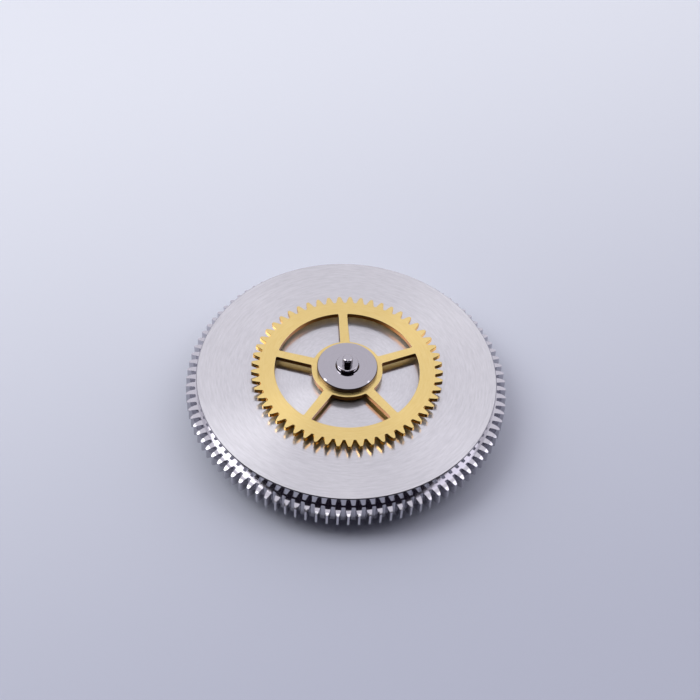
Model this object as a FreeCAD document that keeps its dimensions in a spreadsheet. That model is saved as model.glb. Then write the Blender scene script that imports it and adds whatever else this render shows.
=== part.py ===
import FreeCAD, Part
import math
import os
import re
import Sketcher

# Mainspring barrel of a watch, with the driving wheel of the motion work on it.
# Millimetres, +Z along the arbor, origin on the axis at the lower end of the arbor, where it stands.

SIZES = [
    # drum
    ("edge_bevel", 0.03, "bevel on the turned edges of the drum"),
    ("wall_height", 0.48, "drum above its tooth ring"),
    ("ring_thickness", 0.62, "tooth ring along the axis"),
    ("skirt_height", 0.45, "drum below its tooth ring"),
    ("skirt_inset", 0.08, "drum below the ring is slimmer by this"),
    ("floor_thickness", 0.25, "flat floor of the drum"),
    ("cavity_radius", 5.55, "inside wall that the mainspring leans on"),
    ("wall_thickness", 0.45, "from the inside wall to the rim of the flat face on top"),
    ("notch_depth", 0.1, "notches in the inside wall"),
    ("notch_radius", 0.3, "round of a notch"),
    ("notch_count", 6, "notches in the inside wall"),
    # drum teeth
    ("drum_teeth", 98, "teeth of the drum"),
    ("drum_stand", 0.12, "tooth roots stand out of the rim by this"),
    ("drum_dedendum", 0.15, "tooth below the pitch circle, where tooth and gap are equal"),
    ("drum_addendum", 0.15, "tooth above the pitch circle"),
    ("drum_gap_foot", 0.1, "gap width at its foot"),
    ("drum_gap_pitch", 0.2, "gap width at the pitch radius"),
    ("drum_gap_tip", 0.33, "gap width at the tips"),
    # cover
    ("cover_thickness", 0.22, "snap cover"),
    ("cover_seat", 0.17, "step in the drum that the cover sits on"),
    ("snap_undercut", 0.05, "cover edge is wider inside than at the mouth"),
    ("sink_radius", 2.6, "shallow round sink in the cover"),
    ("sink_depth", 0.05, "depth of the sink in the cover"),
    ("pry_width", 0.9, "notch for opening the cover"),
    ("pry_depth", 0.2, "how far that notch reaches in"),
    # arbor
    ("square_width", 0.95, "ratchet square across its flats"),
    ("square_flats", 4, "flats of the ratchet square"),
    ("square_height", 0.34, "ratchet square along the axis"),
    ("journal_stand", 0.06, "lower journal stands out of the cover by this"),
    ("lower_journal", 0.7, "radius of the journal in the cover"),
    ("upper_journal", 0.438, "radius of the journal in the drum, and of the shoulder on top"),
    ("seat_radius", 0.78, "radius of the seat that the core is pressed on"),
    ("collar_radius", 1.12, "collar under the core"),
    ("collar_height", 0.1, "collar under the core"),
    ("shoulder_stand", 0.18, "shoulder above the hub face"),
    ("pivot_radius", 0.204, "upper pivot"),
    ("pivot_length", 0.32, "upper pivot"),
    ("pivot_bevel", 0.05, "bevel on the pivot's end"),
    ("arbor_bevel", 0.025, "bevel on the arbor's other edges"),
    ("screw_radius", 0.25, "hole for the ratchet screw"),
    ("screw_depth", 1.1, "hole for the ratchet screw"),
    ("core_radius", 1.35, "core where it is smallest"),
    ("hook_height", 0.2, "step of the core that the spring hooks on"),
    # bushes and washers
    ("drum_bush_wall", 0.16, "bush in the drum"),
    ("cover_bush_wall", 0.28, "bush in the cover"),
    ("running_gap", 0.015, "radial play of each journal"),
    ("washer_thickness", 0.06, "washers above and below the core"),
    ("washer_play", 0.03, "washer bores over their journals"),
    ("washer_radius", 1.28, "outside of the washers"),
    ("end_shake", 0.03, "play of the arbor along the axis"),
    # mainspring
    ("strip_thickness", 0.12, "mainspring strip"),
    ("strip_play", 0.06, "strip to drum floor, and strip to cover"),
    ("coil_pitch", 0.26, "turns that lie against the wall"),
    ("wall_halves", 10, "half turns that lie against the wall"),
    ("loose_halves", 3, "half turns that cross to the core"),
    ("hook_play", 0.03, "inner turn over the core"),
    ("tongue_round", 0.2, "bend of the spring's inner end"),
    ("tongue_angle", 80, "degrees that the inner end is bent"),
    ("bridle_thickness", 0.14, "slipping bridle"),
    ("bridle_play", 0.01, "bridle to wall, and bridle to strip"),
    ("bridle_angle", 290, "degrees of the wall that the bridle covers"),
    ("lug_play", 0.02, "bridle lug in its notch"),
    # driving wheel
    ("wheel_gap", 0.166, "drum to driving wheel"),
    ("wheel_thickness", 0.2, "driving wheel"),
    ("wheel_teeth", 53, "teeth of the driving wheel"),
    ("wheel_rim", 0.61, "rim between the windows and the tooth roots"),
    ("wheel_dedendum", 0.16, "tooth below the pitch circle, where tooth and gap are equal"),
    ("wheel_addendum", 0.156, "tooth above the pitch circle"),
    ("wheel_gap_foot", 0.115, "gap width at its foot"),
    ("wheel_gap_pitch", 0.217, "gap width at the pitch radius"),
    ("wheel_gap_tip", 0.365, "gap width at the tips"),
    ("window_radius", 2.89, "outside of the windows"),
    ("ring_radius", 1.43, "gold ring round the hub"),
    ("spoke_count", 5, "spokes"),
    ("spoke_at_rim", 0.345, "spoke width at the rim"),
    ("spoke_at_ring", 0.385, "spoke width at the ring"),
    ("window_round", 0.06, "corners of the windows"),
    ("wheel_turn", 60.395, "degrees that the wheel is turned at rest"),
    # driving hub and its friction spring
    ("hub_radius", 1.2, "steel hub above the wheel"),
    ("hub_stand", 0.234, "hub face above the wheel"),
    ("hub_bevel", 0.045, "bevel round the hub face"),
    ("neck_radius", 1.0, "hub where it carries the wheel"),
    ("rivet_width", 0.1, "riveted edge under the wheel"),
    ("rivet_height", 0.07, "riveted edge under the wheel"),
    ("foot_gap", 0.03, "hub to drum"),
    ("eye_play", 0.03, "hub over the arbor's shoulder"),
    ("pipe_wall", 0.19, "wall of the drum's pipe round its bush"),
    ("pipe_height", 0.46, "drum's pipe above the disc"),
    ("pipe_play", 0.015, "hub over the pipe"),
    ("pipe_end_gap", 0.03, "pipe end to the hub's inner face"),
    ("groove_level", 0.16, "friction groove above the disc"),
    ("groove_height", 0.16, "friction groove along the axis"),
    ("pipe_groove", 0.1, "depth of the groove in the pipe"),
    ("hub_groove", 0.055, "depth of the groove in the hub"),
    ("spring_side_play", 0.02, "friction spring in its groove, along the axis"),
    ("spring_play", 0.012, "friction spring in its groove, across"),
    ("spring_opening", 40, "degrees that the friction spring is open"),
]

# Heights along the axis, as rules of the sheet.
COVER_FACE = "(square_height + journal_stand)"
COVER_INNER = f"({COVER_FACE} + cover_thickness)"
RING_UNDER = f"({COVER_FACE} + skirt_height)"
RING_TOP = f"({RING_UNDER} + ring_thickness)"
DISC_TOP = f"({RING_TOP} + wall_height)"
CEILING = f"({DISC_TOP} - floor_thickness)"
COLLAR_UNDER = f"({COVER_INNER} + washer_thickness + end_shake / 2)"
CORE_UNDER = f"({COLLAR_UNDER} + collar_height)"
CORE_TOP = f"({CEILING} - washer_thickness - end_shake / 2)"
PIPE_TOP = f"({DISC_TOP} + pipe_height)"
GROOVE_UNDER = f"({DISC_TOP} + groove_level)"
GROOVE_TOP = f"({GROOVE_UNDER} + groove_height)"
WHEEL_UNDER = f"({DISC_TOP} + wheel_gap)"
WHEEL_TOP = f"({WHEEL_UNDER} + wheel_thickness)"
HUB_FACE = f"({WHEEL_TOP} + hub_stand)"
SHOULDER = f"({HUB_FACE} + shoulder_stand)"
PIVOT_TOP = f"({SHOULDER} + pivot_length)"

# Radii that follow from what fits inside what.
DRUM_BORE = "(upper_journal + running_gap)"
DRUM_BUSH = f"({DRUM_BORE} + drum_bush_wall)"
PIPE_RADIUS = f"({DRUM_BUSH} + pipe_wall)"
COVER_BORE = "(lower_journal + running_gap)"
COVER_BUSH = f"({COVER_BORE} + cover_bush_wall)"
COVER_MOUTH = "(cavity_radius + cover_seat - snap_undercut)"
COVER_WIDE = "(cavity_radius + cover_seat)"
HUB_BORE = f"({PIPE_RADIUS} + pipe_play)"
HUB_GROOVE = f"({HUB_BORE} + hub_groove)"
NOTCH_CENTRE = "(cavity_radius + notch_depth - notch_radius)"
DISC_RADIUS = "(cavity_radius + wall_thickness)"
DRUM_ROOT = f"({DISC_RADIUS} + drum_stand)"
DRUM_TIP = f"({DRUM_ROOT} + drum_dedendum + drum_addendum)"
WHEEL_ROOT = "(window_radius + wheel_rim)"
WHEEL_TIP = f"({WHEEL_ROOT} + wheel_dedendum + wheel_addendum)"

# Half the angle of a window, at the rim and at the ring round the hub.
RIM_TURN = "(180 deg / spoke_count - asin(spoke_at_rim / 2 / window_radius))"
RING_TURN = "(180 deg / spoke_count - asin(spoke_at_ring / 2 / ring_radius))"

# The mainspring strip between the cover and the floor of the drum.
STRIP_UNDER = f"({COVER_INNER} + strip_play)"
STRIP_TOP = f"({CEILING} - strip_play)"

UP = FreeCAD.Vector(0, 0, 1)
AXIS = FreeCAD.Vector(0, 0, 0)

doc = FreeCAD.newDocument("mainspring_barrel")
sheet = doc.addObject("Spreadsheet::Sheet", "sizes")
for row, (alias, number, note) in enumerate(SIZES, 1):
    sheet.set(f"A{row}", alias)
    sheet.set(f"B{row}", str(number))
    sheet.setAlias(f"B{row}", alias)
    sheet.set(f"C{row}", note)
doc.recompute()
subparts = []


def bound(rule):
    """A rule with each of its aliases pointed at the sheet."""
    return re.sub(r"[a-z]+(?:_[a-z]+)+", r"sizes.\g<0>", rule)


def value(rule):
    """What a rule comes to with the sheet as it is."""
    result = sheet.evalExpression(rule)
    return float(getattr(result, "Value", result))


def new_body(name):
    """An empty body that becomes one sub-part."""
    body = doc.addObject("PartDesign::Body", name)
    body.Label = name
    subparts.append(body)
    return body


def origin_part(body, role):
    """A plane or axis of the body's own origin."""
    return next(part for part in body.Origin.OriginFeatures if part.Role == role)


def new_sketch(body, name, role):
    """An empty sketch on one of the body's origin planes."""
    sketch = body.newObject("Sketcher::SketchObject", name)
    sketch.AttachmentSupport = (origin_part(body, role), [""])
    sketch.MapMode = "FlatFace"
    return sketch


def place(sketch, geometry, end, across, up):
    """Fix a point of the sketch by two rules, measured from the origin."""
    for kind, rule, axis in (("DistanceX", across, -2), ("DistanceY", up, -1)):
        if rule == "0":
            sketch.addConstraint(Sketcher.Constraint("PointOnObject", geometry, end, axis))
            continue
        number = value(rule)
        index = sketch.addConstraint(Sketcher.Constraint(kind, -1, 1, geometry, end, number))
        sketch.setExpression(f"Constraints[{index}]", bound(rule))


def set_radius(sketch, geometry, rule):
    """Fix the radius of an arc by a rule."""
    index = sketch.addConstraint(Sketcher.Constraint("Radius", geometry, value(rule)))
    sketch.setExpression(f"Constraints[{index}]", bound(rule))


def join(sketch, first, second):
    """Join the end of one edge to the start of the next."""
    sketch.addConstraint(Sketcher.Constraint("Coincident", first, 2, second, 1))


def outline(sketch, corners):
    """Closed outline of straight edges through corners, each placed by two rules."""
    points = [FreeCAD.Vector(value(across), value(up), 0) for across, up in corners]
    for index, point in enumerate(points):
        following = points[(index + 1) % len(points)]
        sketch.addGeometry(Part.LineSegment(point, following), False)
    for index in range(len(points)):
        join(sketch, index, (index + 1) % len(points))
    for index, (across, up) in enumerate(corners):
        place(sketch, index, 1, across, up)


def turned(name, corners, opening=None):
    """A piece turned about the axis from half of its section, open by an angle if one is named."""
    body = new_body(name)
    sketch = new_sketch(body, f"{name}_section", "XZ_Plane")
    outline(sketch, corners)
    turn = body.newObject("PartDesign::Revolution", f"{name}_turned")
    turn.Profile = sketch
    turn.ReferenceAxis = (sketch, ["V_Axis"])
    turn.Angle = 360
    if opening:
        turn.setExpression("Angle", bound(f"360 - {opening}"))
    return body


def cut_through(body, sketch, name, low, high):
    """Cut a sketch on the XY plane through the body between two heights."""
    sketch.setExpression("AttachmentOffset.Base.z", bound(low))
    pocket = body.newObject("PartDesign::Pocket", name)
    pocket.Profile = sketch
    pocket.Reversed = True
    pocket.setExpression("Length", bound(f"{high} - {low}"))
    return pocket


def repeat(body, feature, name, count):
    """Repeat a cut round the axis."""
    pattern = body.newObject("PartDesign::PolarPattern", name)
    pattern.Originals = [feature]
    pattern.Axis = (origin_part(body, "Z_Axis"), [""])
    pattern.Angle = 360
    pattern.setExpression("Occurrences", bound(count))
    body.Tip = pattern
    return pattern


def mirrored(point):
    """The same point on the other side of the X axis."""
    return FreeCAD.Vector(point.x, -point.y, 0)


def tooth_gap(body, wheel, root, low, high):
    """One gap between two teeth: flat foot, slanted flanks, and tooth tops that close in towards the tip."""
    sketch = new_sketch(body, f"{wheel}_gap", "XY_Plane")
    pitch = f"{root} + {wheel}_dedendum"
    tip = f"{pitch} + {wheel}_addendum"
    rules = (
        (root, f"{wheel}_gap_foot / 2"),
        (pitch, f"{wheel}_gap_pitch / 2"),
        (tip, f"{wheel}_gap_tip / 2"),
        (f"{tip} + {wheel}_gap_foot", f"{wheel}_gap_tip / 2"),
    )
    side = [FreeCAD.Vector(value(across), value(up), 0) for across, up in rules]
    ring = side + [mirrored(point) for point in reversed(side)]
    for first, point in enumerate(ring):
        sketch.addGeometry(Part.LineSegment(point, ring[(first + 1) % len(ring)]), False)
    for first in range(len(ring)):
        join(sketch, first, (first + 1) % len(ring))
    for first, rule in enumerate(rules):
        place(sketch, first, 1, *rule)
        sketch.addConstraint(Sketcher.Constraint("Symmetric", first, 1, len(ring) - 1 - first, 1, -1))
    pocket = cut_through(body, sketch, f"{wheel}_first_gap", low, high)
    return repeat(body, pocket, f"{wheel}_tooth_ring", f"{wheel}_teeth")


drum = turned("barrel_drum", [
    (DRUM_BUSH, CEILING),
    (DRUM_BUSH, PIPE_TOP),
    (f"{PIPE_RADIUS} - edge_bevel", PIPE_TOP),
    (PIPE_RADIUS, f"{PIPE_TOP} - edge_bevel"),
    (PIPE_RADIUS, GROOVE_TOP),
    (f"{PIPE_RADIUS} - pipe_groove", GROOVE_TOP),
    (f"{PIPE_RADIUS} - pipe_groove", GROOVE_UNDER),
    (PIPE_RADIUS, GROOVE_UNDER),
    (PIPE_RADIUS, DISC_TOP),
    (f"{DISC_RADIUS} - edge_bevel", DISC_TOP),
    (DISC_RADIUS, f"{DISC_TOP} - edge_bevel"),
    (DISC_RADIUS, RING_TOP),
    (DRUM_TIP, RING_TOP),
    (DRUM_TIP, RING_UNDER),
    (f"{DISC_RADIUS} - skirt_inset", RING_UNDER),
    (f"{DISC_RADIUS} - skirt_inset", f"{COVER_FACE} + edge_bevel"),
    (f"{DISC_RADIUS} - skirt_inset - edge_bevel", COVER_FACE),
    (COVER_MOUTH, COVER_FACE),
    (COVER_WIDE, COVER_INNER),
    ("cavity_radius", COVER_INNER),
    ("cavity_radius", CEILING),
])
tooth_gap(drum, "drum", DRUM_ROOT, RING_UNDER, RING_TOP)

# Notches in the inside wall, for the lug of the slipping bridle.
notch = new_sketch(drum, "wall_notch", "XY_Plane")
notch_centre = FreeCAD.Vector(value(NOTCH_CENTRE), 0, 0)
notch.addGeometry(Part.Circle(notch_centre, UP, value("notch_radius")), False)
set_radius(notch, 0, "notch_radius")
place(notch, 0, 3, NOTCH_CENTRE, "0")
first_notch = cut_through(drum, notch, "first_notch", COVER_INNER, CEILING)
repeat(drum, first_notch, "wall_notches", "notch_count")

# Cover: snaps into the undercut step, with a round sink and a notch for opening it.
cover = turned("barrel_cover", [
    (COVER_BUSH, f"{COVER_FACE} + sink_depth"),
    ("sink_radius", f"{COVER_FACE} + sink_depth"),
    ("sink_radius + sink_depth", COVER_FACE),
    (COVER_MOUTH, COVER_FACE),
    (COVER_WIDE, COVER_INNER),
    (COVER_BUSH, COVER_INNER),
])
pry = new_sketch(cover, "pry_outline", "XY_Plane")
outline(pry, [
    (f"{COVER_MOUTH} - pry_depth", "-pry_width / 2"),
    (f"{COVER_WIDE} + pry_depth", "-pry_width / 2"),
    (f"{COVER_WIDE} + pry_depth", "pry_width / 2"),
    (f"{COVER_MOUTH} - pry_depth", "pry_width / 2"),
])
cut_through(cover, pry, "pry_notch", COVER_FACE, f"{COVER_FACE} + cover_thickness / 2")

turned("drum_bush", [
    (DRUM_BORE, CEILING),
    (DRUM_BUSH, CEILING),
    (DRUM_BUSH, f"{PIPE_TOP} - edge_bevel"),
    (f"{DRUM_BUSH} - edge_bevel", PIPE_TOP),
    (DRUM_BORE, PIPE_TOP),
])
turned("cover_bush", [
    (COVER_BORE, COVER_FACE),
    (f"{COVER_BUSH} - edge_bevel", COVER_FACE),
    (COVER_BUSH, f"{COVER_FACE} + edge_bevel"),
    (COVER_BUSH, COVER_INNER),
    (COVER_BORE, COVER_INNER),
])
for name, journal, low in (
    ("lower_washer", "lower_journal", COVER_INNER),
    ("upper_washer", "upper_journal", f"({CEILING} - washer_thickness)"),
):
    turned(name, [
        (f"{journal} + washer_play", low),
        ("washer_radius", low),
        ("washer_radius", f"{low} + washer_thickness"),
        (f"{journal} + washer_play", f"{low} + washer_thickness"),
    ])

# Arbor: from the screw hole in its lower end, round its journals and seat, to the upper pivot.
arbor = turned("barrel_arbor", [
    ("0", "screw_depth + screw_radius / 2"),
    ("screw_radius", "screw_depth"),
    ("screw_radius", "arbor_bevel"),
    ("screw_radius + arbor_bevel", "0"),
    ("lower_journal - 2 * arbor_bevel", "0"),
    ("lower_journal", "2 * arbor_bevel"),
    ("lower_journal", COLLAR_UNDER),
    ("collar_radius", COLLAR_UNDER),
    ("collar_radius", CORE_UNDER),
    ("seat_radius", CORE_UNDER),
    ("seat_radius", CORE_TOP),
    ("upper_journal", CORE_TOP),
    ("upper_journal", f"{SHOULDER} - arbor_bevel"),
    ("upper_journal - arbor_bevel", SHOULDER),
    ("pivot_radius", SHOULDER),
    ("pivot_radius", f"{PIVOT_TOP} - pivot_bevel"),
    ("pivot_radius - pivot_bevel", PIVOT_TOP),
    ("0", PIVOT_TOP),
])
flat = new_sketch(arbor, "square_flat", "XY_Plane")
outline(flat, [
    ("square_width / 2", "-lower_journal"),
    ("2 * lower_journal", "-lower_journal"),
    ("2 * lower_journal", "lower_journal"),
    ("square_width / 2", "lower_journal"),
])
first_flat = cut_through(arbor, flat, "first_flat", "0", "square_height")
repeat(arbor, first_flat, "ratchet_square", "square_flats")

# Core: two half rounds that climb to a step, which the spring hooks on.
core = new_body("arbor_core")
snail = new_sketch(core, "core_snail", "XY_Plane")
small = value("core_radius")
large = value("core_radius + hook_height / 2")
offset = FreeCAD.Vector(large - small, 0, 0)
snail.addGeometry(Part.ArcOfCircle(Part.Circle(AXIS, UP, small), 0, math.pi), False)
snail.addGeometry(Part.ArcOfCircle(Part.Circle(offset, UP, large), math.pi, 2 * math.pi), False)
step_top = FreeCAD.Vector(2 * large - small, 0, 0)
step_foot = FreeCAD.Vector(small, 0, 0)
snail.addGeometry(Part.LineSegment(step_top, step_foot), False)
for first in range(3):
    join(snail, first, (first + 1) % 3)
place(snail, 0, 1, "core_radius", "0")
place(snail, 0, 3, "0", "0")
place(snail, 1, 2, "core_radius + hook_height", "0")
snail.addConstraint(Sketcher.Constraint("PointOnObject", 0, 2, -1))
snail.addConstraint(Sketcher.Constraint("PointOnObject", 1, 3, -1))
snail.setExpression("AttachmentOffset.Base.z", bound(CORE_UNDER))
pad = core.newObject("PartDesign::Pad", "core_pad")
pad.Profile = snail
pad.setExpression("Length", bound(f"{CORE_TOP} - {CORE_UNDER}"))
bore = new_sketch(core, "core_bore", "XY_Plane")
bore.addGeometry(Part.Circle(AXIS, UP, value("seat_radius")), False)
set_radius(bore, 0, "seat_radius")
place(bore, 0, 3, "0", "0")
cut_through(core, bore, "core_hole", CORE_UNDER, CORE_TOP)

# Driving wheel: a toothed blank, with windows between its tapered spokes.
wheel = turned("driving_wheel", [
    ("neck_radius", WHEEL_UNDER),
    (WHEEL_TIP, WHEEL_UNDER),
    (WHEEL_TIP, WHEEL_TOP),
    ("neck_radius", WHEEL_TOP),
])
tooth_gap(wheel, "wheel", WHEEL_ROOT, WHEEL_UNDER, WHEEL_TOP)
window = new_sketch(wheel, "window_outline", "XY_Plane")
rim_turn = math.radians(value(RIM_TURN))
ring_turn = math.radians(value(RING_TURN))
rim = Part.Circle(AXIS, UP, value("window_radius"))
ring = Part.Circle(AXIS, UP, value("ring_radius"))
window.addGeometry(Part.ArcOfCircle(rim, -rim_turn, rim_turn), False)
window.addGeometry(Part.ArcOfCircle(ring, -ring_turn, ring_turn), False)
window.addGeometry(Part.LineSegment(rim.value(rim_turn), ring.value(ring_turn)), False)
window.addGeometry(Part.LineSegment(rim.value(-rim_turn), ring.value(-ring_turn)), False)
for side, end in ((2, 2), (3, 1)):
    window.addConstraint(Sketcher.Constraint("Coincident", 0, end, side, 1))
    window.addConstraint(Sketcher.Constraint("Coincident", 1, end, side, 2))
place(window, 0, 3, "0", "0")
place(window, 1, 3, "0", "0")
place(window, 2, 1, f"window_radius * cos({RIM_TURN})", f"window_radius * sin({RIM_TURN})")
place(window, 2, 2, f"ring_radius * cos({RING_TURN})", f"ring_radius * sin({RING_TURN})")
window.addConstraint(Sketcher.Constraint("Symmetric", 0, 1, 0, 2, -1))
window.addConstraint(Sketcher.Constraint("Symmetric", 1, 1, 1, 2, -1))
first_window = cut_through(wheel, window, "first_window", WHEEL_UNDER, WHEEL_TOP)
windows = repeat(wheel, first_window, "windows", "spoke_count")
doc.recompute()
window_corners = []
for index, edge in enumerate(wheel.Shape.Edges, 1):
    middle = edge.CenterOfMass
    out = math.hypot(middle.x, middle.y)
    upright = edge.tangentAt(edge.FirstParameter).cross(UP).Length < value("edge_bevel")
    from_corner = min(abs(out - value("window_radius")), abs(out - value("ring_radius")))
    if upright and from_corner < value("window_round"):
        window_corners.append(f"Edge{index}")
rounded = wheel.newObject("PartDesign::Fillet", "rounded_windows")
rounded.Base = (windows, window_corners)
rounded.setExpression("Radius", bound("window_round"))
wheel.Tip = rounded
wheel.Placement.Rotation = FreeCAD.Rotation(UP, value("wheel_turn"))
wheel.setExpression("Placement.Rotation.Angle", bound("wheel_turn"))

# Hub: carries the wheel under its head, rides on the pipe, and closes in round the shoulder.
turned("driving_hub", [
    ("upper_journal + eye_play", f"{PIPE_TOP} + pipe_end_gap"),
    (HUB_BORE, f"{PIPE_TOP} + pipe_end_gap"),
    (HUB_BORE, GROOVE_TOP),
    (HUB_GROOVE, GROOVE_TOP),
    (HUB_GROOVE, GROOVE_UNDER),
    (HUB_BORE, GROOVE_UNDER),
    (HUB_BORE, f"{DISC_TOP} + foot_gap"),
    ("neck_radius", f"{DISC_TOP} + foot_gap"),
    ("neck_radius", f"{WHEEL_UNDER} - rivet_height"),
    ("neck_radius + rivet_width", f"{WHEEL_UNDER} - rivet_height / 2"),
    ("neck_radius + rivet_width", WHEEL_UNDER),
    ("neck_radius", WHEEL_UNDER),
    ("neck_radius", WHEEL_TOP),
    ("hub_radius", WHEEL_TOP),
    ("hub_radius", f"{HUB_FACE} - hub_bevel"),
    ("hub_radius - hub_bevel", HUB_FACE),
    ("upper_journal + eye_play", HUB_FACE),
])

# Friction spring: an open ring in the grooves of pipe and hub.
turned("friction_spring", [
    (f"{PIPE_RADIUS} - pipe_groove + spring_play", f"{GROOVE_UNDER} + spring_side_play"),
    (f"{HUB_GROOVE} - spring_play", f"{GROOVE_UNDER} + spring_side_play"),
    (f"{HUB_GROOVE} - spring_play", f"{GROOVE_TOP} - spring_side_play"),
    (f"{PIPE_RADIUS} - pipe_groove + spring_play", f"{GROOVE_TOP} - spring_side_play"),
], "spring_opening")


def strip_face(path, thickness):
    """Flat face of a strip that follows tangent arcs, each a centre, a radius, a start and a stop."""
    edges = []
    for side in (1, -1):
        for middle, radius, start, stop in path:
            circle = Part.Circle(middle, UP, radius + side * thickness / 2)
            edges.append(Part.ArcOfCircle(circle, start, stop).toShape())
    outer_end = (path[0][0], path[0][1], path[0][2])
    inner_end = (path[-1][0], path[-1][1], path[-1][3])
    for middle, radius, turn in (outer_end, inner_end):
        ray = FreeCAD.Vector(math.cos(turn), math.sin(turn), 0)
        near = middle + ray * (radius - thickness / 2)
        far = middle + ray * (radius + thickness / 2)
        edges.append(Part.makeLine(near, far))
    return Part.Face(Part.Wire(Part.__sortEdges__(edges)))


def strip_piece(name, *faces):
    """A piece as wide as the mainspring strip, raised from its flat faces."""
    width = FreeCAD.Vector(0, 0, value(f"{STRIP_TOP} - {STRIP_UNDER}"))
    solids = [face.extrude(width) for face in faces]
    piece = doc.addObject("Part::Feature", name)
    piece.Label = name
    piece.Shape = solids[0].fuse(solids[1:]).removeSplitter() if solids[1:] else solids[0]
    piece.Placement.Base.z = value(STRIP_UNDER)
    subparts.append(piece)


# Mainspring, let down: half turns whose ends lie on the X axis, from the wall in to the core.
at_wall = value("cavity_radius - 2 * bridle_play - bridle_thickness - strip_thickness / 2")
at_core = value("core_radius + hook_play + strip_thickness / 2")
at_hook = at_core + value("hook_height")
wall_halves = int(value("wall_halves"))
loose_halves = int(value("loose_halves"))
reaches = [at_wall - value("coil_pitch") / 2 * half for half in range(wall_halves + 1)]
loose_step = (reaches[-1] - at_core) / loose_halves
reaches += [reaches[-1] - loose_step * half for half in range(1, loose_halves + 1)]
reaches.append(at_hook)
halves = len(reaches) - 1
ends = [reach if (halves - half) % 2 == 0 else -reach for half, reach in enumerate(reaches)]
spring_path = []
for here, following in zip(ends, ends[1:]):
    middle = FreeCAD.Vector((here + following) / 2, 0, 0)
    start = 0 if here > following else math.pi
    spring_path.append((middle, abs(here - following) / 2, start, start + math.pi))
tongue_round = value("tongue_round")
tongue_middle = FreeCAD.Vector(at_hook - tongue_round, 0, 0)
spring_path.append((tongue_middle, tongue_round, 0, math.radians(value("tongue_angle"))))
strip_piece("mainspring", strip_face(spring_path, value("strip_thickness")))

# Slipping bridle: a thicker strip along the wall, with a lug that catches a notch.
bridle_radius = value("cavity_radius - bridle_play - bridle_thickness / 2")
bridle_turn = math.radians(value("bridle_angle"))
bridle = strip_face([(AXIS, bridle_radius, 0, bridle_turn)], value("bridle_thickness"))
lug_radius = value("notch_radius - lug_play")
lug = Part.Face(Part.Wire(Part.Circle(notch_centre, UP, lug_radius).toShape()))
inside = Part.Circle(AXIS, UP, bridle_radius - value("bridle_thickness") / 2)
lug = lug.cut(Part.Face(Part.Wire(inside.toShape())))
strip_piece("mainspring_bridle", bridle, lug)

doc.recompute()
for item in doc.Objects:
    if {"Invalid", "Error"} & set(item.State):
        raise SystemExit(f"{item.Label} failed: {item.State}")
for part in subparts:
    if part.Shape.isNull() or not part.Shape.isValid() or part.Shape.Volume <= 0:
        raise SystemExit(f"{part.Label} has no valid solid")
os.makedirs("parts", exist_ok=True)
for part in subparts:
    part.Shape.exportStep(f"parts/{part.Label}.step")
    print(part.Label, len(part.Shape.Solids), round(part.Shape.Volume, 4))
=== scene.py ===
import math

import bmesh
import bpy
from mathutils import Matrix, Vector


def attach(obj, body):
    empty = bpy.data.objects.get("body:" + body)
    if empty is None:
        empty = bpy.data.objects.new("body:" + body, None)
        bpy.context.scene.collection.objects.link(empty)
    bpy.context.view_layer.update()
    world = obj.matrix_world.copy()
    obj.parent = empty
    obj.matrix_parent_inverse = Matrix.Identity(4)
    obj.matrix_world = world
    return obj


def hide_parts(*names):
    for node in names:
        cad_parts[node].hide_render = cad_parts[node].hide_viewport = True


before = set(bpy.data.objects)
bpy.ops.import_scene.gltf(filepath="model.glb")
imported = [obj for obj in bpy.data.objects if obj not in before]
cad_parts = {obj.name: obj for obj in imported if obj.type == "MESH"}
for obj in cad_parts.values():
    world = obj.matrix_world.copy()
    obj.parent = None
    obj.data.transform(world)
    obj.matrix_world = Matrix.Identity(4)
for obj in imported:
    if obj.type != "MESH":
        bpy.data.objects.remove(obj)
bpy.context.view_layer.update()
MM = 0.001
CLOSE = 1e-7  # points nearer than this are one point

# Heights in millimetres, up the arbor's axis.
COVER_FACE = 0.40
COVER_INNER = 0.62
RING_UNDER = 0.85
RING_TOP = 1.47
CEILING = 1.70
DISC_TOP = 1.95
GROOVE_UNDER = 2.11
GROOVE_TOP = 2.27
PIPE_TOP = 2.41
WHEEL_UNDER = 2.116
WHEEL_TOP = 2.316
HUB_FACE = 2.55
SHOULDER = 2.73
PIVOT_TOP = 3.05

JOURNAL_END = 0.695
FLANGE_TOP = 0.795
CORE_TOP = 1.625
HUB_FOOT = 1.98
HOLE_END = 1.1

# Radii in millimetres.
DISC = 6.0
SKIRT = 5.92
COVER_EDGE = 5.72
COVER_SEAT = 5.67
CAVITY = 5.55
PIPE = 0.803
PIPE_BORE = 0.613
BUSH = 0.995
BUSH_BORE = 0.715
FLANGE = 1.12
CORE_SEAT = 0.78
JOURNAL = 0.7
UPPER_JOURNAL = 0.438
SCREW_HOLE = 0.25
PIVOT = 0.204
HUB = 1.2
RIVET = 1.1
WHEEL_SEAT = 1.0
HUB_GROOVE = 0.873
HUB_BORE = 0.818
HUB_MOUTH = 0.468
WINDOW_RIM = 2.89
WINDOW_RING = 1.41

# Toothed rims: root, pitch and tip radius, then the gap's width at each, all in millimetres.
DRUM_TEETH = 98
DRUM_RIM = (6.045, 6.23, 6.42)
DRUM_GAPS = (0.145, 0.21, 0.33)
WHEEL_TEETH = 53
WHEEL_RIM = (3.5, 3.66, 3.816)
WHEEL_GAPS = (0.115, 0.217, 0.365)

# The drum's tooth ends slope down in two steps, each with its radius and its drop.
CROWN = ((6.17, 0), (6.3, 0.023), (6.42, 0.079), (6.6, 0.163))

# Other sizes in millimetres.
BEVEL = 0.03
CLEAR = 0.2  # how far a cutting tool reaches past what it cuts
GROOVE_DEPTH = 0.1
SQUARE_HALF = 0.475
SPOKE_AT_RIM = 0.345
SPOKE_AT_RING = 0.385

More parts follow.
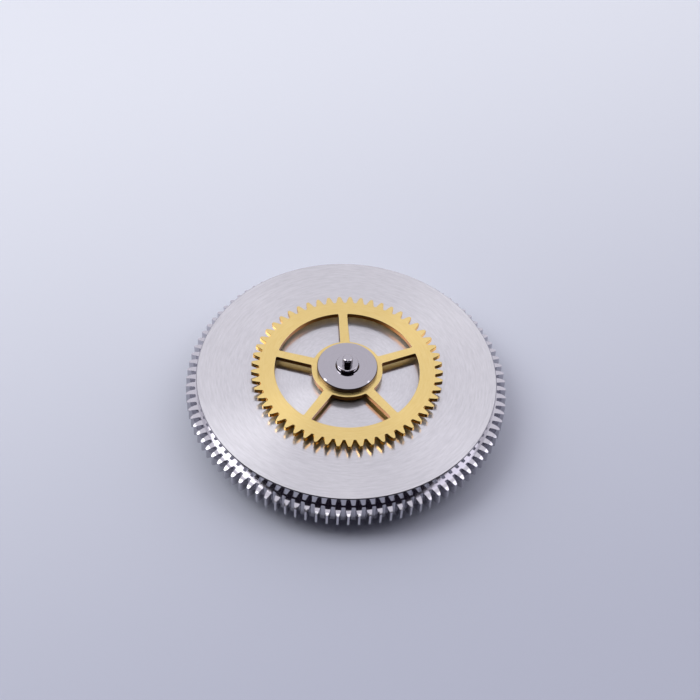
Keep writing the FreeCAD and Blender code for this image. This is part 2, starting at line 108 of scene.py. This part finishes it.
WHEEL_TURN = 60.395  # degrees that the driving wheel stands turned in the photograph
SPOKES = 5
NOTCHES = 6
FOOT_STEPS = 6  # straight lines along the round foot of a gap
FLANK_STEPS = 4  # and along the round part of a flank
SHARP = 50  # degrees from which an edge counts as a corner


def only(piece):
    """Selects one piece and nothing else."""
    bpy.ops.object.select_all(action="DESELECT")
    piece.select_set(True)
    bpy.context.view_layer.objects.active = piece


def open_mesh(piece):
    """Enters edit mode on one piece, with nothing in it selected."""
    only(piece)
    bpy.ops.object.mode_set(mode="EDIT")
    bpy.ops.mesh.select_all(action="DESELECT")


def bevel_picked(width, segments=1):
    """In edit mode, bevels the picked edges by a width in millimetres."""
    bpy.ops.mesh.bevel(offset=width * MM, segments=segments, affect="EDGES", clamp_overlap=True)


def close_mesh():
    bpy.ops.object.mode_set(mode="OBJECT")


def pick_edges(piece, test):
    """In edit mode, selects the edges that pass a test of their two ends and their angle."""
    bpy.ops.mesh.select_mode(type="EDGE")
    mesh = bmesh.from_edit_mesh(piece.data)
    for edge in mesh.edges:
        if len(edge.link_faces) == 2:
            first, last = (vertex.co / MM for vertex in edge.verts)
            edge.select_set(test(first, last, math.degrees(edge.calc_face_angle(0))))
    bmesh.update_edit_mesh(piece.data)


def apply_modifier(piece, kind, **settings):
    only(piece)
    modifier = piece.modifiers.new(kind.lower(), kind)
    for name, setting in settings.items():
        setattr(modifier, name, setting)
    bpy.ops.object.modifier_apply(modifier=modifier.name)


def smooth(piece):
    """Smooths what is round and keeps every bevel's own flat shine."""
    only(piece)
    bpy.ops.object.shade_smooth_by_angle(angle=math.radians(15))


def trace(name, corners, closed=True):
    """Draws a line through corners given in millimetres, by extruding one vertex of a plane."""
    corners = [Vector(corner) * MM for corner in corners]
    bpy.ops.object.select_all(action="DESELECT")
    bpy.ops.mesh.primitive_plane_add(size=MM, location=corners[0])
    piece = bpy.context.object
    piece.name = piece.data.name = name
    bpy.ops.object.transform_apply(location=True, rotation=False, scale=False)
    bpy.ops.object.mode_set(mode="EDIT")
    bpy.ops.mesh.select_mode(type="VERT")
    bpy.ops.mesh.select_all(action="SELECT")
    bpy.ops.mesh.merge(type="CENTER")
    if closed:
        corners.append(corners[0])
    for here, there in zip(corners, corners[1:]):
        bpy.ops.mesh.extrude_region_move(TRANSFORM_OT_translate={"value": there - here})
    bpy.ops.mesh.select_all(action="SELECT")
    bpy.ops.mesh.remove_doubles(threshold=CLOSE)
    return piece


def merge_and_face_out():
    bpy.ops.mesh.select_all(action="SELECT")
    bpy.ops.mesh.remove_doubles(threshold=CLOSE)
    bpy.ops.mesh.normals_make_consistent(inside=False)


def turned(name, section, steps=256, closed=True):
    """A piece turned on a lathe from half of its section, given as radius and height."""
    piece = trace(name, [(radius, 0, height) for radius, height in section], closed)
    bpy.ops.mesh.spin(steps=steps, angle=math.tau, center=(0, 0, 0), axis=(0, 0, 1))
    merge_and_face_out()
    close_mesh()
    return piece


def soften(piece, width):
    """Takes the sharpness off the edges of a turned piece, as a polisher does."""
    apply_modifier(piece, "BEVEL", width=width * MM, segments=1, limit_method="ANGLE",
                   angle_limit=math.radians(40), use_clamp_overlap=True)


def around(radius, start, stop, steps):
    """Points on a circle, from one angle to another in degrees."""
    turns = [math.radians(start + (stop - start) * step / steps) for step in range(steps + 1)]
    return [(radius * math.cos(turn), radius * math.sin(turn)) for turn in turns]


def tooth_ring(name, teeth, radii, gaps, rounds, inner, low, high, turn=0.0):
    """Cut teeth round a ring: one gap with half a tooth on each side, spun round and made thick."""
    root, pitch, tip = radii
    foot_half, pitch_half, tip_half = (gap / 2 for gap in gaps)
    foot_round, crown_round = rounds
    half_turn = math.pi / teeth
    foot_turn = math.asin(foot_half / foot_round)
    hollow = []
    for step in range(FOOT_STEPS + 1):
        at = math.pi - foot_turn + 2 * foot_turn * step / FOOT_STEPS
        hollow.append((root + foot_round * (1 + math.cos(at)), foot_round * math.sin(at)))
    corner = Vector((math.sqrt(tip ** 2 - tip_half ** 2), tip_half))
    flank = Vector((pitch, pitch_half))
    chord = corner - flank
    rise = math.sqrt(crown_round ** 2 - chord.length_squared / 4)
    middle = (corner + flank) / 2 + Vector((-chord.y, chord.x)).normalized() * rise
    start = math.atan2(corner.y - middle.y, corner.x - middle.x)
    stop = math.atan2(flank.y - middle.y, flank.x - middle.x)
    crown = []
    for step in range(FLANK_STEPS + 1):
        at = start + (stop - start) * step / FLANK_STEPS
        crown.append((middle.x + crown_round * math.cos(at), middle.y + crown_round * math.sin(at)))
    upper = [(tip * math.cos(half_turn), tip * math.sin(half_turn))] + crown
    lower = [(across, -up) for across, up in reversed(upper)]
    inside = around(inner, -180 / teeth, 180 / teeth, 3)
    stand = Matrix.Rotation(math.radians(turn), 3, "Z")
    corners = [stand @ Vector((across, up, low)) for across, up in upper + hollow + lower + inside]
    piece = trace(name, corners)
    bpy.ops.mesh.edge_face_add()
    bpy.ops.mesh.spin(steps=teeth - 1, dupli=True, angle=math.tau * (teeth - 1) / teeth,
                      center=(0, 0, 0), axis=(0, 0, 1))
    bpy.ops.mesh.select_all(action="SELECT")
    bpy.ops.mesh.remove_doubles(threshold=CLOSE)
    bpy.ops.mesh.extrude_region_move(TRANSFORM_OT_translate={"value": (0, 0, (high - low) * MM)})
    merge_and_face_out()
    return piece


def block(name, low, high):
    """A straight block from its lowest and highest corner, for cutting with."""
    low, high = Vector(low) * MM, Vector(high) * MM
    bpy.ops.object.select_all(action="DESELECT")
    bpy.ops.mesh.primitive_cube_add(size=1, location=(low + high) / 2, scale=high - low)
    piece = bpy.context.object
    piece.name = name
    bpy.ops.object.transform_apply(location=True, rotation=False, scale=True)
    return piece


def cut(piece, tool, operation="DIFFERENCE"):
    """Cuts one piece with another, or joins it on, and takes the tool away."""
    apply_modifier(piece, "BOOLEAN", operation=operation, solver="EXACT", object=tool)
    bpy.data.objects.remove(tool, do_unlink=True)


def turned_copy(piece, angle):
    """A copy with its own mesh, turned round the axis by an angle in degrees."""
    only(piece)
    bpy.ops.object.duplicate()
    copy = bpy.context.object
    copy.rotation_euler.z = math.radians(angle)
    bpy.ops.object.transform_apply(location=False, rotation=True, scale=False)
    return copy


def cut_round(piece, tool, count):
    """Cuts a piece with a tool at equal steps round the axis."""
    for step in range(1, count):
        cut(piece, turned_copy(tool, 360 * step / count))
    cut(piece, tool)


# The studio first: the camera stands where the photograph was taken from.
def place_camera():
    bpy.ops.object.camera_add(location=(0.0000638, -0.0421487, 0.0547915))
    camera = bpy.context.object
    camera.name = "photograph_view"
    right = Vector((0.998020, 0.048581, 0.039939))
    up = Vector((-0.062891, 0.770943, 0.633797))
    back = Vector((0, -0.635055, 0.772472))
    camera.rotation_euler = Matrix((right, up, back)).transposed().to_euler()
    camera.data.lens = 87.07
    camera.data.sensor_width = 36
    camera.data.clip_start = 0.001
    bpy.context.scene.camera = camera


place_camera()


# Drum: turned cup with a pipe in its middle, and a ring of teeth round its wall.
def make_drum():
    drum = turned("drum", [
        (PIPE_BORE, CEILING), (PIPE_BORE, PIPE_TOP), (PIPE - BEVEL, PIPE_TOP), (PIPE, PIPE_TOP - BEVEL),
        (PIPE, GROOVE_TOP), (PIPE - GROOVE_DEPTH, GROOVE_TOP), (PIPE - GROOVE_DEPTH, GROOVE_UNDER),
        (PIPE, GROOVE_UNDER), (PIPE, DISC_TOP), (DISC - BEVEL, DISC_TOP), (DISC, DISC_TOP - BEVEL),
        (DISC, RING_TOP - CLEAR), (SKIRT, RING_UNDER + CLEAR), (SKIRT, COVER_FACE + BEVEL),
        (SKIRT - BEVEL, COVER_FACE), (COVER_SEAT, COVER_FACE), (COVER_EDGE, COVER_INNER),
        (CAVITY, COVER_INNER), (CAVITY, CEILING),
    ], steps=4 * DRUM_TEETH)
    cut(drum, make_drum_teeth(), "UNION")
    height = (CEILING - COVER_INNER) * MM
    middle = (5.35 * MM, 0, (CEILING + COVER_INNER) / 2 * MM)
    bpy.ops.mesh.primitive_cylinder_add(vertices=32, radius=0.3 * MM, depth=height, location=middle)
    notch = bpy.context.object
    bpy.ops.object.transform_apply(location=True, rotation=False, scale=False)
    cut_round(drum, notch, NOTCHES)
    smooth(drum)
    return drum


def make_drum_teeth():
    teeth = tooth_ring("teeth", DRUM_TEETH, DRUM_RIM, DRUM_GAPS, (0.3, 0.7), 5.8, RING_UNDER, RING_TOP)
    close_mesh()
    slope = [(radius, RING_TOP - drop) for radius, drop in CROWN]
    over = [(CROWN[-1][0], RING_TOP + CLEAR), (CROWN[0][0], RING_TOP + CLEAR)]
    cut(teeth, turned("crown_tool", slope + over, steps=4 * DRUM_TEETH))
    open_mesh(teeth)
    pick_edges(teeth, lambda first, last, angle: angle > SHARP and first.xy.length > 6.02
               and last.xy.length > 6.02 and abs(first.z - last.z) < 0.1)
    bevel_picked(0.012)
    close_mesh()
    return teeth


# Driving wheel: a toothed blank with windows between tapered spokes, their edges bevelled.
def make_wheel():
    wheel = tooth_ring("driving_wheel_gilt", WHEEL_TEETH, WHEEL_RIM, WHEEL_GAPS, (0.105, 0.8), 1.0,
                       WHEEL_UNDER, WHEEL_TOP, WHEEL_TURN)
    pick_edges(wheel, lambda first, last, angle: angle > SHARP and first.xy.length > 3.3
               and abs(first.z - last.z) < 0.01)
    bevel_picked(0.01)
    close_mesh()
    cut_round(wheel, make_window(), SPOKES)
    open_mesh(wheel)
    pick_edges(wheel, lambda first, last, angle: angle > SHARP and 1.2 < first.xy.length < 3.1
               and first.z > WHEEL_TOP - 0.01 and last.z > WHEEL_TOP - 0.01)
    bevel_picked(0.035)
    close_mesh()
    smooth(wheel)
    return wheel


def make_window():
    """The tool for one window of the wheel, with rounded corners."""
    half_window = 180 / SPOKES
    at_rim = half_window - math.degrees(math.asin(SPOKE_AT_RIM / 2 / WINDOW_RIM))
    at_ring = half_window - math.degrees(math.asin(SPOKE_AT_RING / 2 / WINDOW_RING))
    outline = around(WINDOW_RIM, WHEEL_TURN - at_rim, WHEEL_TURN + at_rim, 28)
    outline += around(WINDOW_RING, WHEEL_TURN + at_ring, WHEEL_TURN - at_ring, 16)
    window = trace("window", [(across, up, WHEEL_UNDER - 0.1) for across, up in outline])
    bpy.ops.mesh.edge_face_add()
    bpy.ops.mesh.extrude_region_move(TRANSFORM_OT_translate={"value": (0, 0, 2 * CLEAR * MM)})
    merge_and_face_out()
    pick_edges(window, lambda first, last, angle: angle > SHARP and abs(first.z - last.z) > 0.1)
    bevel_picked(0.06, segments=4)
    close_mesh()
    return window


# Hub: steel, with a mirror-polished face and a bright bevel, riveted under the wheel.
def make_hub():
    mouth = PIPE_TOP + 0.03
    hub = turned("driving_hub_steel", [
        (HUB_MOUTH, mouth), (HUB_BORE, mouth), (HUB_BORE, GROOVE_TOP), (HUB_GROOVE, GROOVE_TOP),
        (HUB_GROOVE, GROOVE_UNDER), (HUB_BORE, GROOVE_UNDER), (HUB_BORE, HUB_FOOT), (WHEEL_SEAT, HUB_FOOT),
        (WHEEL_SEAT, WHEEL_UNDER - 0.07), (RIVET, WHEEL_UNDER - 0.035), (RIVET, WHEEL_UNDER),
        (WHEEL_SEAT, WHEEL_UNDER), (WHEEL_SEAT, WHEEL_TOP), (HUB, WHEEL_TOP), (HUB, HUB_FACE - 0.055),
        (HUB - 0.025, HUB_FACE - 0.018), (HUB - 0.085, HUB_FACE), (HUB_MOUTH, HUB_FACE),
    ])
    soften(hub, 0.008)
    smooth(hub)
    return hub


# Arbor: turned steel, square where the ratchet wheel sits, drilled for its screw.
def make_arbor():
    dome = [(PIVOT - 0.08 + across, PIVOT_TOP - 0.1 + up) for across, up in around(0.08, 0, 70, 7)]
    dome += [(0.1, PIVOT_TOP - 0.009), (0.05, PIVOT_TOP - 0.002)]
    arbor = turned("arbor_steel", [
        (0, HOLE_END + 0.125), (SCREW_HOLE, HOLE_END), (SCREW_HOLE, 0.025), (SCREW_HOLE + 0.025, 0),
        (JOURNAL - 0.05, 0), (JOURNAL, 0.05), (JOURNAL, JOURNAL_END), (FLANGE, JOURNAL_END),
        (FLANGE, FLANGE_TOP), (CORE_SEAT, FLANGE_TOP), (CORE_SEAT, CORE_TOP), (UPPER_JOURNAL, CORE_TOP),
        (UPPER_JOURNAL, SHOULDER - 0.025), (UPPER_JOURNAL - 0.025, SHOULDER), (PIVOT, SHOULDER), *dome,
        (0, PIVOT_TOP),
    ], steps=128, closed=False)
    cut_round(arbor, block("flat", (SQUARE_HALF, -1.5, -CLEAR), (1.6, 1.5, 0.34)), 4)
    soften(arbor, 0.008)
    smooth(arbor)
    return arbor


# Cover: a snap disc with a round sink, and a notch for opening it.
def make_cover():
    sink = COVER_FACE + 0.05
    cover = turned("cover", [
        (BUSH, sink), (2.6, sink), (2.65, COVER_FACE), (COVER_SEAT, COVER_FACE), (COVER_EDGE, COVER_INNER),
        (BUSH, COVER_INNER),
    ])
    cut(cover, block("pry", (COVER_SEAT - 0.2, -0.45, COVER_FACE - 0.1), (COVER_EDGE + 0.2, 0.45, 0.51)))
    soften(cover, 0.015)
    smooth(cover)
    return cover


def make_cover_bush():
    bush = turned("cover_bush_bronze", [
        (BUSH_BORE, COVER_FACE), (BUSH - BEVEL, COVER_FACE), (BUSH, COVER_FACE + BEVEL), (BUSH, COVER_INNER),
        (BUSH_BORE, COVER_INNER),
    ])
    soften(bush, 0.01)
    smooth(bush)
    return bush


drum = make_drum()
wheel = make_wheel()
hub = make_hub()
arbor = make_arbor()
cover = make_cover()
cover_bush = make_cover_bush()
for piece, body, node, slot in (
    (drum, "barrel", "barrel_drum", "drum_metal"),
    (cover, "barrel", "barrel_cover", "cover_metal"),
    (cover_bush, "barrel", "cover_bush", "bush_bronze"),
    (arbor, "arbor", "barrel_arbor", "polished_steel"),
    (wheel, "motion_drive", "driving_wheel", "gilt_brass"),
    (hub, "motion_drive", "driving_hub", "polished_steel"),
):
    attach(piece, body)
    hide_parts(node)


def colour(code):
    """A hex colour as it looks on a screen, turned to the linear numbers that a shader takes."""
    parts = [int(code[place:place + 2], 16) / 255 for place in (1, 3, 5)]
    linear = [part / 12.92 if part <= 0.04045 else ((part + 0.055) / 1.055) ** 2.4 for part in parts]
    return (*linear, 1.0)


def add(tree, kind, settings=None, inputs=None):
    """Adds one node, sets it up and links or fills its inputs."""
    node = tree.nodes.new(kind)
    for name, setting in (settings or {}).items():
        setattr(node, name, setting)
    for name, source in (inputs or {}).items():
        socket = node.inputs[name]
        if isinstance(source, bpy.types.NodeSocket):
            tree.links.new(source, socket)
        else:
            socket.default_value = source
    return node


def new_material(name):
    material = bpy.data.materials.new(name)
    material.use_nodes = True
    material.node_tree.nodes.clear()
    return material, material.node_tree


BROAD_ROUGH = 0.36  # the hazy sheen across the lines of a satin finish
BROAD_STRETCH = 0.9


def metal(name, dark, light, rough, stretch=0.0, groove=0.05, arcs=6.0, depth=0.0, haze=0.0, lean=0.0):
    """A metal finished in circles round the axis. Groove is the spacing of its lines in millimetres,
    arcs how often a line fades out on its way round, and depth the depth of a line in millimetres.
    Haze is the share of a broader sheen across the lines, and lean how far it leans outward."""
    material, tree = new_material(name)
    place = add(tree, "ShaderNodeTexCoord").outputs["Object"]
    flat = add(tree, "ShaderNodeVectorMath", {"operation": "MULTIPLY"}, {0: place, 1: (1, 1, 0)}).outputs[0]
    radius = add(tree, "ShaderNodeVectorMath", {"operation": "LENGTH"}, {0: flat}).outputs["Value"]
    outward = add(tree, "ShaderNodeVectorMath", {"operation": "NORMALIZE"}, {0: flat}).outputs[0]
    way_round = add(tree, "ShaderNodeVectorMath", {"operation": "SCALE"},
                    {0: outward, "Scale": arcs}).outputs[0]
    line = add(tree, "ShaderNodeMath", {"operation": "DIVIDE"}, {0: radius, 1: groove * MM}).outputs[0]
    across = add(tree, "ShaderNodeCombineXYZ", None, {"Z": line}).outputs[0]
    spot = add(tree, "ShaderNodeVectorMath", {"operation": "ADD"}, {0: way_round, 1: across}).outputs[0]
    lines = add(tree, "ShaderNodeTexNoise", None,
                {"Vector": spot, "Scale": 1.0, "Detail": 4.0, "Roughness": 0.65}).outputs["Fac"]
    shade = add(tree, "ShaderNodeMix", {"data_type": "RGBA"},
                {0: lines, 6: colour(dark), 7: colour(light)}).outputs[2]
    softness = add(tree, "ShaderNodeMapRange", None,
                   {"Value": lines, "To Min": rough * 0.8, "To Max": rough * 1.2}).outputs[0]
    aside = add(tree, "ShaderNodeVectorTransform",
                {"vector_type": "VECTOR", "convert_from": "OBJECT", "convert_to": "WORLD"},
                {"Vector": outward}).outputs[0]
    upright = add(tree, "ShaderNodeNewGeometry").outputs["Normal"]

    def sheen(softness, stretch, normal):
        """One reflection of the metal, drawn out across its lines by stretch."""
        shader = add(tree, "ShaderNodeBsdfPrincipled", None,
                     {"Base Color": shade, "Metallic": 1.0, "Roughness": softness})
        if stretch:
            shader.inputs["Anisotropic"].default_value = stretch
            tree.links.new(aside, shader.inputs["Tangent"])
        if depth:
            bump = add(tree, "ShaderNodeBump", None,
                       {"Height": lines, "Distance": depth * MM, "Normal": normal}).outputs[0]
            tree.links.new(bump, shader.inputs["Normal"])
        return shader.outputs[0]

    surface = sheen(softness, stretch, upright)
    if haze:
        slant = add(tree, "ShaderNodeVectorMath", {"operation": "SCALE"},
                    {0: aside, "Scale": lean}).outputs[0]
        leaning = add(tree, "ShaderNodeVectorMath", {"operation": "ADD"},
                      {0: upright, 1: slant}).outputs[0]
        leaning = add(tree, "ShaderNodeVectorMath", {"operation": "NORMALIZE"}, {0: leaning}).outputs[0]
        surface = add(tree, "ShaderNodeMixShader", None,
                      {0: haze, 1: surface, 2: sheen(BROAD_ROUGH, BROAD_STRETCH, leaning)}).outputs[0]
    add(tree, "ShaderNodeOutputMaterial", None, {"Surface": surface})
    return material


# Rhodium plate over turned brass, satined in circles: a soft pale sheen that opens in a bow tie.
satin_plate = metal("rhodium_circular_satin", "#C2C1C4", "#EAE9EC", 0.13, stretch=0.8, groove=0.07,
                    arcs=9.0, depth=0.003, haze=0.4, lean=0.08)
# The same plate left polished: wall, teeth and ring, dark or bright with what stands before them.
bright_plate = metal("rhodium_polished", "#C2C0C6", "#CECCD2", 0.12, groove=0.03, arcs=2.0, depth=0.0003)
# Cover in the same plate, turned and satined a little coarser.
cover_plate = metal("rhodium_cover_satin", "#C9C8CC", "#DEDCE1", 0.34, stretch=0.7, groove=0.06, arcs=4.0,
                    depth=0.0015)
# Gilt brass, satined in circles: warm pale gold with a broad sheen.
gilt_satin = metal("gilt_brass_satin", "#E2C376", "#FAE29E", 0.19, stretch=0.6, groove=0.05, arcs=7.0,
                   depth=0.002, haze=0.3, lean=0.05)
# Gilt brass where a cutter passed, on the window walls, with painted shade: darkened to deep amber, nearly
# brown.
gilt_wall_painted_shade = metal("gilt_brass_wall_painted_shade", "#86521C", "#9A6628", 0.3, groove=0.05, arcs=3.0)
# Gilt brass on the teeth, polished by the cutter: bright gold flanks.
gilt_tooth = metal("gilt_brass_tooth", "#DDA94F", "#E8B862", 0.2, groove=0.05, arcs=3.0)
# Gilt brass on the polished bevels, with a painted highlight: bright cream lines.
gilt_bevel_painted_highlight = metal("gilt_brass_bevel_painted_highlight", "#FFE9AE", "#FFF1C4", 0.12, groove=0.05, arcs=3.0)
# Hardened carbon steel, mirror polished: grey, with hardly a line on it.
mirror_steel = metal("carbon_steel_mirror", "#B0ADB3", "#BAB7BD", 0.05, groove=0.04, arcs=2.0, depth=0.0001)
# The same steel as the lathe left it, on the hub's side and chamfers: duller, and darker with painted shade.
turned_steel_painted_shade = metal("carbon_steel_turned_painted_shade", "#5E4F50", "#706061", 0.3, groove=0.04, arcs=2.0, depth=0.0004)
# Plate over the drum's broken edge, darkened with painted shade: a dull thin line round the disc.
edge_plate_painted_shade = metal("rhodium_broken_edge_painted_shade", "#8D8B92", "#A19FA6", 0.3, groove=0.03, arcs=3.0)
# The same steel burnished on the pivot and the shoulder's side, with painted shade: nearly black where it
# turns away.
pivot_steel_painted_shade = metal("carbon_steel_burnished_painted_shade", "#3C383F", "#4A454D", 0.12, groove=0.04, arcs=2.0)
# Rolled spring steel strip, fine lines, slightly warm.
rolled_steel = metal("spring_steel_rolled", "#A3A2A6", "#B9B8BB", 0.25, groove=0.03, arcs=3.0, depth=0.0005)
# Turned bronze of the bushes and washers.
turned_bronze = metal("bronze_turned", "#C69A5B", "#DDB679", 0.22, groove=0.03, arcs=3.0, depth=0.0006)


def dress(piece, *materials):
    piece.data.materials.clear()
    for material in materials:
        piece.data.materials.append(material)


def finish_faces(piece, test):
    """Gives each face the slot that a test of its middle and its normal picks."""
    for face in piece.data.polygons:
        face.material_index = test(face.center / MM, face.normal)


# The disc's broken edge gets the plate with painted shade.
dress(drum, bright_plate, satin_plate, edge_plate_painted_shade)
finish_faces(drum, lambda at, normal: 0 if at.z < DISC_TOP - BEVEL or at.xy.length < PIPE + BEVEL
             else 1 if normal.z > 0.9 else 2)
# The window walls get the gilt with painted shade, and the window bevels the gilt with a painted highlight.
dress(wheel, gilt_wall_painted_shade, gilt_satin, gilt_bevel_painted_highlight, gilt_tooth)
finish_faces(wheel, lambda at, normal: 1 if abs(normal.z) > 0.95 else 3 if at.xy.length > 3.1
             else 2 if normal.z > 0.2 else 0)
# The hub's side and chamfers get the steel with painted shade.
dress(hub, mirror_steel, turned_steel_painted_shade)
finish_faces(hub, lambda at, normal: int(normal.z < 0.9))
# The pivot's and the shoulder's sides get the steel with painted shade.
dress(arbor, mirror_steel, pivot_steel_painted_shade)
finish_faces(arbor, lambda at, normal: int(at.z > HUB_FACE and abs(normal.z) < 0.3))
dress(cover, cover_plate)
dress(cover_bush, turned_bronze)
for node, finish in (
    ("drum_bush", turned_bronze), ("lower_washer", turned_bronze), ("upper_washer", turned_bronze),
    ("arbor_core", mirror_steel), ("friction_spring", rolled_steel), ("mainspring", rolled_steel),
    ("mainspring_bridle", rolled_steel),
):
    dress(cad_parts[node], finish)


# Table: plain pale lavender, with a painted light falloff: a little darker towards the front and the right.
def make_table():
    bpy.ops.mesh.primitive_plane_add(size=4)
    table = bpy.context.object
    table.name = "table"
    material, tree = new_material("board_matt_painted_light_falloff")
    place = add(tree, "ShaderNodeTexCoord").outputs["Object"]
    back = add(tree, "ShaderNodeVectorMath", {"operation": "DOT_PRODUCT"},
               {0: place, 1: (-0.4, 1, 0)}).outputs["Value"]
    far = add(tree, "ShaderNodeMapRange", {"interpolation_type": "SMOOTHSTEP"},
              {"Value": back, "From Min": -0.022, "From Max": 0.03}).outputs[0]
    shade = add(tree, "ShaderNodeMix", {"data_type": "RGBA"},
                {0: far, 6: colour("#BABECE"), 7: colour("#F3F7FE")}).outputs[2]
    shader = add(tree, "ShaderNodeBsdfPrincipled", None, {"Base Color": shade, "Roughness": 0.7})
    add(tree, "ShaderNodeOutputMaterial", None, {"Surface": shader.outputs[0]})
    table.data.materials.append(material)


def make_softbox(name, towards, distance, size, radiance, tint):
    """A square lamp in a direction from the barrel, as bright as a surface of that radiance."""
    away = Vector(towards).normalized()
    bpy.ops.object.light_add(type="AREA", location=away * distance)
    lamp = bpy.context.object
    lamp.name = name
    lamp.rotation_euler = away.to_track_quat("Z", "Y").to_euler()
    lamp.data.shape = "SQUARE"
    lamp.data.size = size
    lamp.data.energy = radiance * math.pi * size ** 2
    lamp.data.color = colour(tint)[:3]


def light_room():
    """A pale room, dark in front, where the camera stands."""
    room = bpy.data.worlds.new("room")
    bpy.context.scene.world = room
    room.use_nodes = True
    tree = room.node_tree
    tree.nodes.clear()
    towards = add(tree, "ShaderNodeTexCoord").outputs["Generated"]
    parts = add(tree, "ShaderNodeSeparateXYZ", None, {0: towards}).outputs
    front = add(tree, "ShaderNodeMapRange", {"interpolation_type": "SMOOTHSTEP"},
                {"Value": parts["Y"], "From Min": -0.04, "From Max": -0.24}).outputs[0]
    high = add(tree, "ShaderNodeMapRange", {"interpolation_type": "SMOOTHSTEP"},
               {"Value": parts["Z"], "From Min": -0.1, "From Max": 0.08}).outputs[0]
    shade = add(tree, "ShaderNodeMath", {"operation": "MULTIPLY"}, {0: front, 1: high}).outputs[0]
    tone = add(tree, "ShaderNodeMix", {"data_type": "RGBA"},
               {0: shade, 6: colour("#DEDCE4"), 7: colour("#1B1522")}).outputs[2]
    sky = add(tree, "ShaderNodeBackground", None, {"Color": tone, "Strength": 1.25})
    add(tree, "ShaderNodeOutputWorld", None, {"Surface": sky.outputs[0]})


make_table()
light_room()
make_softbox("window_left", (-0.62, 0.05, 0.78), 0.25, 0.14, 3.2, "#FFFFFF")
make_softbox("window_right", (0.62, 0.11, 0.77), 0.3, 0.15, 1.2, "#F4F2FA")
make_softbox("overhead", (0, -0.2, 0.97), 0.3, 0.07, 1.4, "#FFFFFF")
bpy.context.scene.view_settings.view_transform = "Standard"
